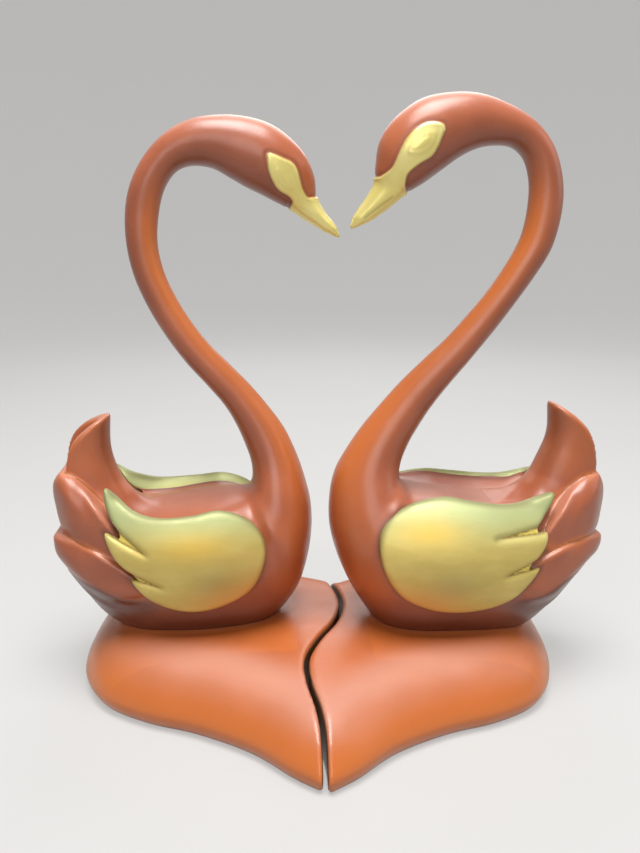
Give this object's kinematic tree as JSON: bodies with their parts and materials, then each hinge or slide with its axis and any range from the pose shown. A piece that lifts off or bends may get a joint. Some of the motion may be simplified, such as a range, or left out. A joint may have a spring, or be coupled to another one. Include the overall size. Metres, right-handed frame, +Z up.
{
  "type": "swan couple figurine",
  "caption": "Decorative figurine of two facing swans on a split heart-shaped base; their curved necks and beaks outline a heart. Stands on a shelf or a cake.",
  "frame": {"origin": "centre of the bounding box at the flat underside", "axes": "+Z up, -Y towards the tip of the heart, which is the front of the figurine, +X towards the right swan"},
  "size_m": [0.248, 0.1544, 0.2564],
  "materials": {
    "copper_paint": "satin copper-brown paint, airbrushed with orange, on cast resin",
    "gold_paint": "satin gold paint on the wings, masks and beaks"
  },
  "bodies": {
    "root": {"left_swan": "copper_paint", "right_swan": "copper_paint"}
  },
  "joints": []
}
